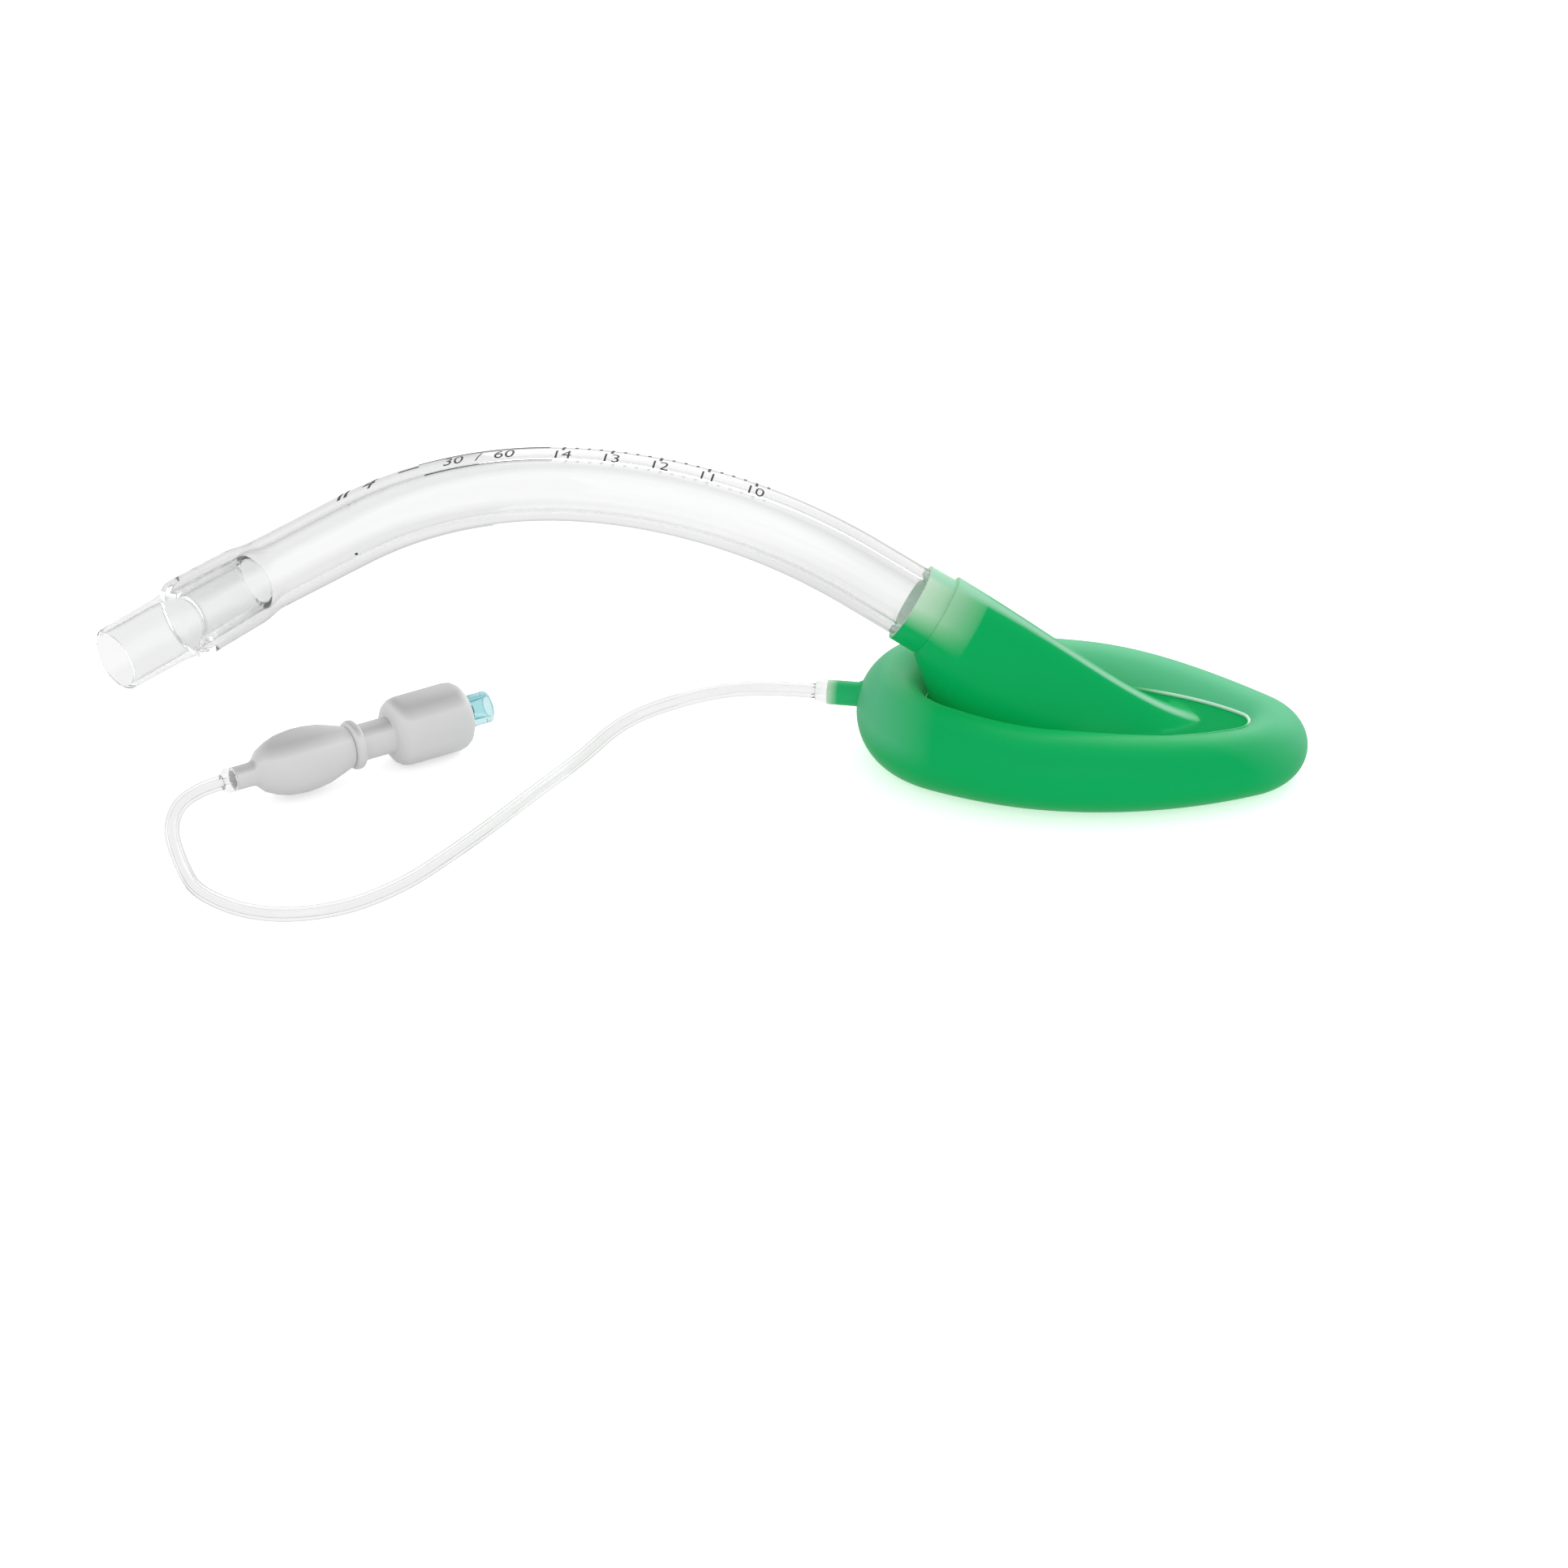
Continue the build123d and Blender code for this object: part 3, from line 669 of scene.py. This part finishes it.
port_height = 0.012
port_radius = 0.0027
port_reach = 0.0066
port_wall = 0.0008
port_end = Vector((mask_x - 0.0251 - port_reach, 0, port_height))
port_profile = [
    (0.0006, 0),
    (0.0006, port_radius - port_wall),
    (0, port_radius - port_wall),
    (0, port_radius),
    (port_reach, port_radius),
    (port_reach + 0.0008, port_radius + 0.0004),
    (port_reach + 0.0030, port_radius + 0.0010),
    (port_reach + 0.0030, 0),
]
port_green, nodes, links, surface, place = soft_green("port_green", 0.4, 0.10, film_lamp_tint, 0.12)
mouth = add_mask(nodes, links, place.outputs["Object"], to_tip, port_end.x + 0.0024, port_end.x)
tone = add_tone(nodes, links, mouth, (0.02, 0.50, 0.17), pale_green)
links.new(tone, surface.inputs["Base Color"])
port_rounds = [(2, 0.0003), (3, 0.0003)]
bm = turned(port_profile, facing(port_end, to_tip), port_rounds, closed=False, steps=48)
smooth_piece("cuff_port", bm, port_green)


# Inflation line: soft clear tubing with a fine bore, lying where it fell. A clear adapter is
# bonded on at each end, and plugs into the cuff's port and into the balloon's neck.
line_radius = 0.0016
line_bore = 0.00075
pilot_origin = Vector((-0.0917, -0.0500, 0.00765))
pilot_heading = math.radians(39.8)
pilot_dir = Vector((math.cos(pilot_heading), math.sin(pilot_heading), 0))
adapter_length, adapter_cone, adapter_radius = 0.0016, 0.0011, 0.0027
plug_radius, plug_length = 0.0018, 0.0005
flange_gap = 0.00005
line_start = port_end - to_tip * (adapter_length + adapter_cone)
line_end = pilot_origin - pilot_dir * (adapter_length + adapter_cone)
line_points = [
    tuple(line_start),
    (line_start.x - 0.0130, 0.0, 0.0120),
    (0.0000, -0.0008, 0.0089),
    (-0.0145, -0.0061, 0.0046),
    (-0.0217, -0.0195, line_radius),
    (-0.0285, -0.0344, line_radius),
    (-0.0348, -0.0492, line_radius),
    (-0.0415, -0.0636, line_radius),
    (-0.0491, -0.0780, line_radius),
    (-0.0602, -0.0896, line_radius),
    (-0.0756, -0.0940, line_radius),
    (-0.0901, -0.0877, line_radius),
    (-0.0965, -0.0773, line_radius),
    (-0.1021, -0.0663, 0.0046),
    tuple(line_end - pilot_dir * 0.0085),
    tuple(line_end),
]
route = bpy.data.curves.new("line_route", "CURVE")
route.dimensions = "3D"
spline = route.splines.new("NURBS")
spline.points.add(len(line_points) - 1)
for point, corner in zip(spline.points, line_points):
    point.co = (*corner, 1)
spline.order_u = 3
spline.use_endpoint_u = True
spline.resolution_u = 16
route_object = bpy.data.objects.new("line_route", route)
bpy.context.scene.collection.objects.link(route_object)
route_mesh = bpy.data.meshes.new_from_object(route_object)
line_path = [vert.co.copy() for vert in route_mesh.vertices]
bpy.data.objects.remove(route_object)
bpy.data.meshes.remove(route_mesh)
line_places = []
side = to_far_side
for before, centre, after in zip(line_path[:1] + line_path, line_path, line_path[1:] + line_path[-1:]):
    heading = (after - before).normalized()
    side = (side - heading * side.dot(heading)).normalized()
    line_places.append(facing(centre, heading, side))


def line_skin(bm, radius):
    """One skin of the line, carried along its path without twist."""
    across = Matrix.Diagonal((radius, radius, 1, 1))
    return skin_along(bm, [place @ across for place in line_places], 32)


bm = bmesh.new()
outer_first, outer_last = line_skin(bm, line_radius)
inner_first, inner_last = line_skin(bm, line_bore)
bmesh.ops.bridge_loops(bm, edges=outer_first + inner_first)
bmesh.ops.bridge_loops(bm, edges=outer_last + inner_last)
line_clear = clear_plastic(
    "line_clear", (0.94, 0.945, 0.94), (0.30, 0.31, 0.30), 0.06, 1.15, (0.96, 0.963, 0.96), 0.45
)
shade_along(line_clear, "Normal", upwards, upper_side, under_side, faint_underside_shade)
inflation_line = smooth_piece("soft_line", bm, line_clear)
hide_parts("inflation_line")
adapter_profile = [
    (-adapter_length - adapter_cone, line_radius + 0.00005),
    (-adapter_length - adapter_cone, line_radius + 0.0003),
    (-adapter_length, adapter_radius),
    (-flange_gap, adapter_radius),
    (-flange_gap, plug_radius),
    (plug_length, plug_radius),
    (plug_length, line_bore),
    (-adapter_length - adapter_cone + 0.0001, line_bore),
]
adapter_rounds = [(2, 0.0003), (3, 0.0002)]
adapter_clear = clear_plastic(
    "adapter_clear", (0.96, 0.965, 0.96), (0.90, 0.91, 0.90), 0.2, 1.05, (0.97, 0.975, 0.97), 0.4
)
shade_along(adapter_clear, "Normal", upwards, upper_side, under_side, faint_underside_shade)
for name, node, origin, heading in (
    ("cuff_adapter", "cuff_line_adapter", port_end, to_tip),
    ("balloon_adapter", "balloon_line_adapter", pilot_origin, pilot_dir),
):
    bm = turned(adapter_profile, facing(origin, heading), adapter_rounds, steps=48)
    adapter = smooth_piece(name, bm, adapter_clear)
    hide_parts(node)


# Pilot balloon: a thin milky PVC bag, blown like the cuff, that shows by its feel whether the
# cuff is full. Its neck is bonded over the line's adapter and its mouth over the valve's nose.
balloon_place = facing(pilot_origin, pilot_dir, upwards)
neck_radius, neck_length, neck_wall = 0.0026, 0.0047, 0.0007
nose_radius = 0.0030
balloon_end = 0.0276
top_shade_grey, side_light_grey = (0.455, 0.455, 0.455), (0.755, 0.755, 0.755)


def milky(name, roughness):
    """Milky white plastic, with painted shade on faces that point up and painted light on its sides and
    underside.
    """
    material = bpy.data.materials.new(name)
    material.use_nodes = True
    nodes, links = material.node_tree.nodes, material.node_tree.links
    surface, place = nodes["Principled BSDF"], nodes.new("ShaderNodeTexCoord")
    under = add_mask(nodes, links, place.outputs["Normal"], upwards, 0.92, 0.66)
    links.new(add_tone(nodes, links, under, top_shade_grey, side_light_grey), surface.inputs["Base Color"])
    surface.inputs["Roughness"].default_value = roughness
    surface.inputs["Subsurface Weight"].default_value = 0.3
    surface.inputs["Subsurface Radius"].default_value = (1.0, 1.0, 1.0)
    surface.inputs["Subsurface Scale"].default_value = 0.002
    return material


balloon_profile = [
    (0.0006, 0),
    (0.0006, neck_radius - neck_wall),
    (0, neck_radius - neck_wall),
    (0, neck_radius),
    (neck_length, neck_radius),
    (0.0067, 0.0047),
    (0.0091, 0.0059),
    (0.0116, 0.0067),
    (0.0155, 0.0071),
    (0.0185, 0.00695),
    (0.0214, 0.0065),
    (0.0243, 0.0056),
    (balloon_end, 0.0045),
    (balloon_end, nose_radius),
]
balloon_rounds = [(3, 0.0002), (4, 0.0008), (12, 0.0006)]
bm = turned(balloon_profile, balloon_place, balloon_rounds, closed=False)
pilot_balloon = smooth_piece("milky_balloon", bm, milky("balloon_milky", 0.55))
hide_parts("pilot_balloon")


# Valve housing: one moulding with a nose in the balloon's mouth (its ribs are not drawn), a stem
# and the rounded body that holds the check valve.
stem_start, housing_start, housing_end = 0.0299, 0.0375, 0.0560
chamber_start, luer_start, luer_end = 0.0424, 0.0494, 0.0617
nose_length, air_bore = 0.0050, 0.0015
bead_radius, stem_radius, housing_radius = 0.00545, 0.00405, 0.00765
chamber_radius, luer_hole = 0.0032, 0.00357
housing_profile = [
    (balloon_end - nose_length, air_bore),
    (balloon_end - nose_length, nose_radius),
    (balloon_end, nose_radius),
    (balloon_end, bead_radius),
    (stem_start, bead_radius),
    (stem_start, stem_radius),
    (housing_start, stem_radius),
    (housing_start, housing_radius),
    (housing_end, housing_radius),
    (housing_end, luer_hole),
    (luer_start, luer_hole),
    (luer_start, chamber_radius),
    (chamber_start, chamber_radius),
    (chamber_start, air_bore),
]
housing_rounds = [(3, 0.0009), (4, 0.0009), (5, 0.0003), (6, 0.0004), (7, 0.0033), (8, 0.0033)]
bm = turned(housing_profile, balloon_place, housing_rounds)
valve_housing = smooth_piece("rounded_housing", bm, milky("valve_white", 0.5))
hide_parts("valve_housing")


# Luer inlet: a clear pale blue socket with a 6 % taper, pressed into the housing. A male tip
# plugs in here to fill the cuff, and pushes the plunger off its seat.
luer_radius, luer_mouth, taper_length, taper_root = 0.00355, 0.00215, 0.0075, 0.001925
luer_cavity, seat_hole, seat_thickness = 0.0019, 0.00172, 0.0025
luer_top = pilot_origin.z + 0.0032
luer_blue = clear_plastic(
    "luer_blue", (0.62, 0.86, 0.88), (0.05, 0.36, 0.42), 0.03, 1.16, (0.7, 0.9, 0.92), 0.5
)
# Painted shade: a dark band along the top of the luer.
shade_along(luer_blue, "Object", upwards, luer_top, luer_top + 0.0003, (0.10, 0.40, 0.46))
luer_profile = [
    (luer_start, seat_hole),
    (luer_start, luer_radius),
    (luer_end, luer_radius),
    (luer_end, luer_mouth),
    (luer_end - taper_length, taper_root),
    (luer_end - taper_length, luer_cavity),
    (luer_start + seat_thickness, luer_cavity),
    (luer_start + seat_thickness, seat_hole),
]
bm = turned(luer_profile, balloon_place, [(2, 0.0003), (3, 0.0002)])
valve_luer = smooth_piece("blue_luer", bm, luer_blue)
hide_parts("valve_luer")


# Check valve: a fluted plunger with its seal behind the seat, held shut by a small wire spring.
# The plunger and the rubber seal are the solids themselves, and the steel spring is wound here.
def plain_finish(name, colour, roughness, metallic=0.0):
    """An even moulded, rubber or metal finish."""
    material = bpy.data.materials.new(name)
    material.use_nodes = True
    surface = material.node_tree.nodes["Principled BSDF"]
    surface.inputs["Base Color"].default_value = (*colour, 1)
    surface.inputs["Roughness"].default_value = roughness
    surface.inputs["Metallic"].default_value = metallic
    return material


plunger_dark = plain_finish("plunger_dark", (0.18, 0.20, 0.18), 0.4)
seal_rubber = plain_finish("seal_rubber", (0.02, 0.02, 0.02), 0.6)
spring_steel = plain_finish("spring_steel", (0.6, 0.6, 0.61), 0.3, 1.0)
for node, finish in (("valve_plunger", plunger_dark), ("valve_seal", seal_rubber)):
    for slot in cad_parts[node].material_slots:
        slot.material = finish
spring_wire, spring_radius, spring_turns = 0.0002, 0.0021, 3.5
seal_gap, seal_thickness, head_thickness = 0.00002, 0.0017, 0.0012
spring_length = luer_start - seal_gap - seal_thickness - head_thickness - chamber_start
wind_steps = 112
wire_place = Matrix.Translation((spring_radius, 0, chamber_start + spring_wire))
bm = bmesh.new()
bmesh.ops.create_circle(
    bm, segments=12, radius=spring_wire, matrix=wire_place @ Matrix.Rotation(math.pi / 2, 4, "X")
)
bmesh.ops.spin(
    bm,
    geom=list(bm.verts) + list(bm.edges),
    cent=(0, 0, 0),
    axis=(0, 0, 1),
    dvec=(0, 0, (spring_length - 2 * spring_wire) / wind_steps),
    angle=math.tau * spring_turns,
    steps=wind_steps,
    use_merge=False,
    use_duplicate=False,
)
open_ends = [edge for edge in bm.edges if len(edge.link_faces) == 1]
bmesh.ops.edgeloop_fill(bm, edges=open_ends)
bmesh.ops.transform(bm, matrix=balloon_place, verts=bm.verts)
wound_spring = smooth_piece("wound_spring", bm, spring_steel, merge=1e-7)
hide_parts("valve_spring")
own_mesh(wound_spring)


# Table: a plain white sweep that the lamps light softly. Glass and gloss see it plain white,
# because seen through the clear parts its brightest patch would wash them out.
bm = bmesh.new()
bmesh.ops.create_grid(bm, x_segments=1, y_segments=1, size=6.0)
floor_mesh = bpy.data.meshes.new("floor")
bm.to_mesh(floor_mesh)
bm.free()
floor = bpy.data.objects.new("floor", floor_mesh)
bpy.context.scene.collection.objects.link(floor)
floor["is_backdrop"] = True
white_sweep = bpy.data.materials.new("white_sweep")
white_sweep.use_nodes = True
nodes, links = white_sweep.node_tree.nodes, white_sweep.node_tree.links
surface = nodes["Principled BSDF"]
surface.inputs["Base Color"].default_value = (0.8, 0.8, 0.8, 1)
surface.inputs["Roughness"].default_value = 0.7
surface.inputs["Specular IOR Level"].default_value = 0.1
surface.inputs["Emission Color"].default_value = (1, 1, 1, 1)
path, direct, glassy, plain_white, mix = (
    nodes.new("ShaderNodeLightPath"),
    nodes.new("ShaderNodeMath"),
    nodes.new("ShaderNodeMath"),
    nodes.new("ShaderNodeEmission"),
    nodes.new("ShaderNodeMixShader"),
)
direct.operation = "MULTIPLY"
direct.inputs[1].default_value = 0.50
links.new(path.outputs["Is Camera Ray"], direct.inputs[0])
links.new(direct.outputs["Value"], surface.inputs["Emission Strength"])
glassy.use_clamp = True
links.new(path.outputs["Is Glossy Ray"], glassy.inputs[0])
links.new(path.outputs["Is Transmission Ray"], glassy.inputs[1])
plain_white.inputs["Color"].default_value = (1, 1, 1, 1)
links.new(glassy.outputs["Value"], mix.inputs["Fac"])
links.new(surface.outputs["BSDF"], mix.inputs[1])
links.new(plain_white.outputs["Emission"], mix.inputs[2])
links.new(mix.outputs["Shader"], nodes["Material Output"].inputs["Surface"])
floor_mesh.materials.append(white_sweep)


# Light and camera: a white room, one large soft box behind and a weaker one in front, and the
# camera at the photograph's angle.
world = bpy.data.worlds.new("studio")
bpy.context.scene.world = world
world.use_nodes = True
background = world.node_tree.nodes["Background"]
background.inputs["Color"].default_value = (1, 1, 1, 1)
background.inputs["Strength"].default_value = 0.82


def looking(place, target):
    """Matrix of a lamp or camera at a place that faces its target."""
    away = place - target
    return Matrix.Translation(place) @ away.to_track_quat("Z", "Y").to_matrix().to_4x4()


def soft_lamp(name, place, width, depth, power):
    """A soft box that faces the object."""
    lamp = bpy.data.lights.new(name, "AREA")
    lamp.shape = "RECTANGLE"
    lamp.size, lamp.size_y = width, depth
    lamp.energy = power
    box = bpy.data.objects.new(name, lamp)
    box.matrix_world = looking(Vector(place), Vector((0, 0, 0)))
    bpy.context.scene.collection.objects.link(box)


soft_lamp("back_box", (0.15, 1.0, 0.60), 1.4, 0.9, 8.0)
soft_lamp("front_box", (0.2, -1.0, 1.0), 1.0, 0.7, 1.6)

view_azimuth, view_elevation = math.radians(8.99), math.radians(30.5)
view_distance = 1.2
view_target = Vector((0.02337, -0.0207, 0))
view_back = Vector(
    (
        math.sin(view_azimuth) * math.cos(view_elevation),
        -math.cos(view_azimuth) * math.cos(view_elevation),
        math.sin(view_elevation),
    )
)
camera_data = bpy.data.cameras.new("camera")
camera_data.lens = 126.851
camera_data.sensor_width = 36
camera = bpy.data.objects.new("camera", camera_data)
camera.matrix_world = looking(view_target + view_back * view_distance, view_target)
bpy.context.scene.collection.objects.link(camera)
bpy.context.scene.camera = camera
bpy.context.scene.view_settings.view_transform = "Standard"

low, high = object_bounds()
